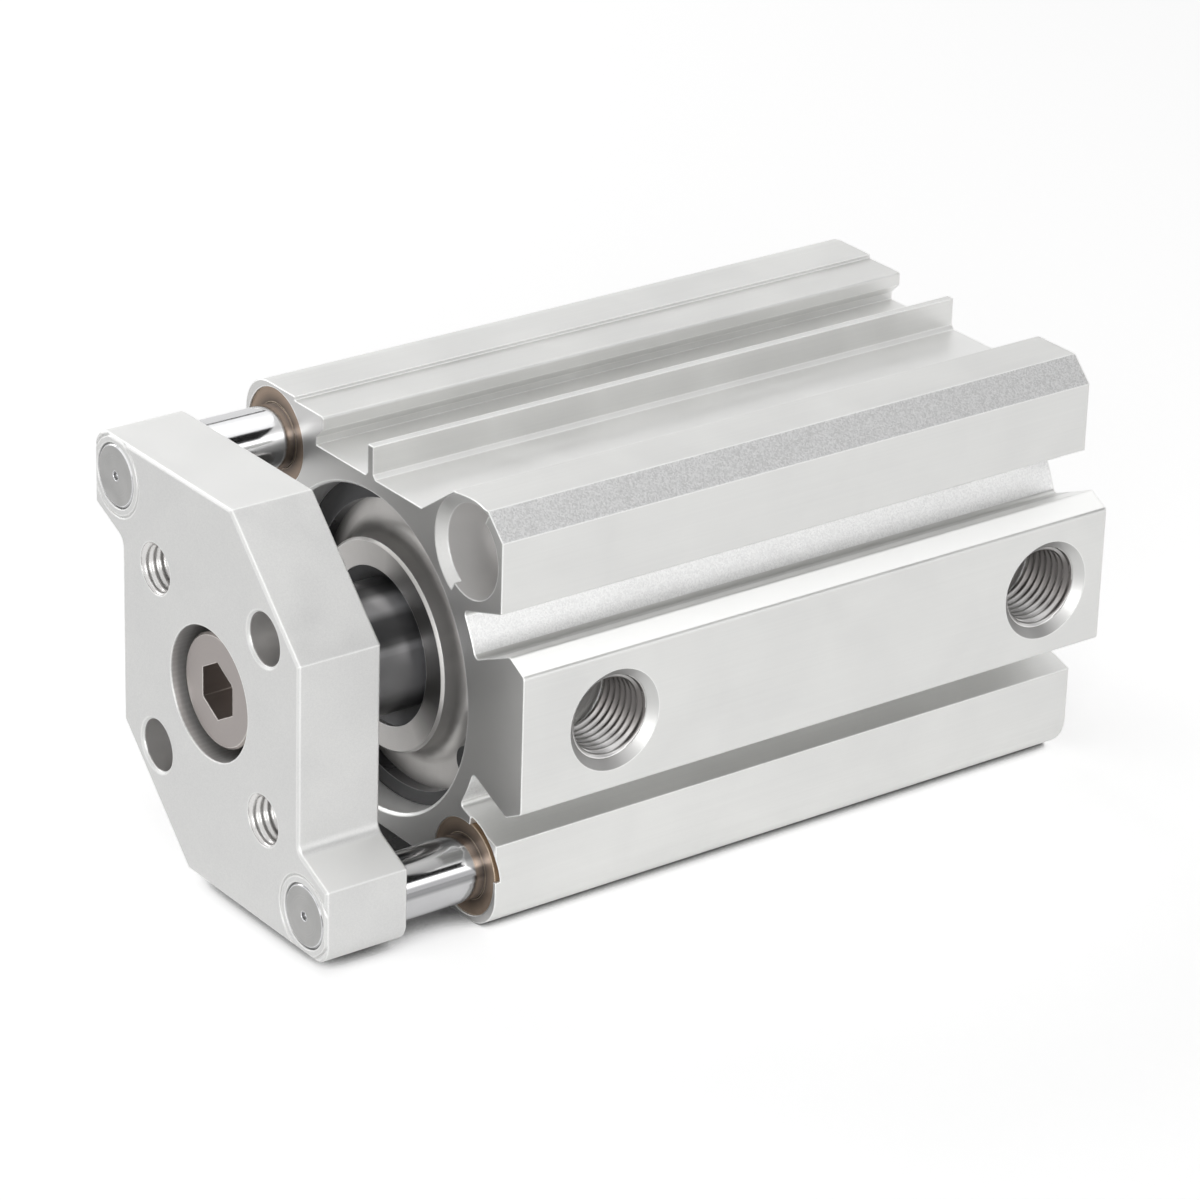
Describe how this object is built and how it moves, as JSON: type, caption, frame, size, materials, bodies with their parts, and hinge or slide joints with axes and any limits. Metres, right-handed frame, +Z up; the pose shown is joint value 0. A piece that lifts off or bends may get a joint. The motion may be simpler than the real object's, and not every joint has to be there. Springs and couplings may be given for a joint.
{
  "type": "guided pneumatic cylinder",
  "caption": "Compact double-acting air cylinder with a square extruded body, side ports, a piston rod and guide rods that carry a drilled end plate.",
  "frame": {"origin": "on the cylinder's axis, midway between the two through-bolt holes, at the tube's rear mounting face", "axes": "+Y along the axis away from the end plate, which is at -Y; the air ports face +X; +Z is up"},
  "size_m": [0.0718, 0.1366, 0.066],
  "materials": {
    "anodised_aluminium": "satin clear anodised extrusion",
    "blasted_aluminium": "bead-blasted, clear anodised",
    "machined_aluminium": "turned",
    "chromed_steel": "ground and hard chromed",
    "sintered_bronze": "oil-filled sintered bronze",
    "spring_steel": "black phosphated spring steel",
    "screw_steel": "plain steel, light plating",
    "seal_rubber": "black nitrile rubber",
    "bumper_rubber": "brown urethane",
    "wear_plastic": "resin",
    "magnet_rubber": "rubber-bonded magnet"
  },
  "bodies": {
    "cylinder": {"cylinder_tube": "anodised_aluminium", "collar": "machined_aluminium", "collar_o_ring": "seal_rubber", "rod_seal": "seal_rubber", "rod_bushing": "sintered_bronze", "rod_side_retaining_ring": "spring_steel", "head_cover": "machined_aluminium", "head_o_ring": "seal_rubber", "head_retaining_ring": "spring_steel", "guide_bushing_upper_front": "sintered_bronze", "guide_bushing_upper_rear": "sintered_bronze", "guide_bushing_lower_front": "sintered_bronze", "guide_bushing_lower_rear": "sintered_bronze"},
    "carriage": {"piston_rod": "chromed_steel", "piston": "machined_aluminium", "piston_gasket": "seal_rubber", "piston_seal": "seal_rubber", "wear_ring": "wear_plastic", "piston_magnet": "magnet_rubber", "front_bumper": "bumper_rubber", "rear_bumper": "bumper_rubber", "end_plate": "blasted_aluminium", "plate_screw": "screw_steel", "guide_rod_upper": "chromed_steel", "guide_rod_lower": "chromed_steel"}
  },
  "joints": [
    {"name": "stroke", "type": "slide", "parent": "cylinder", "child": "carriage", "axis": [0, -1, 0], "range_m": [0, 0.05]}
  ]
}
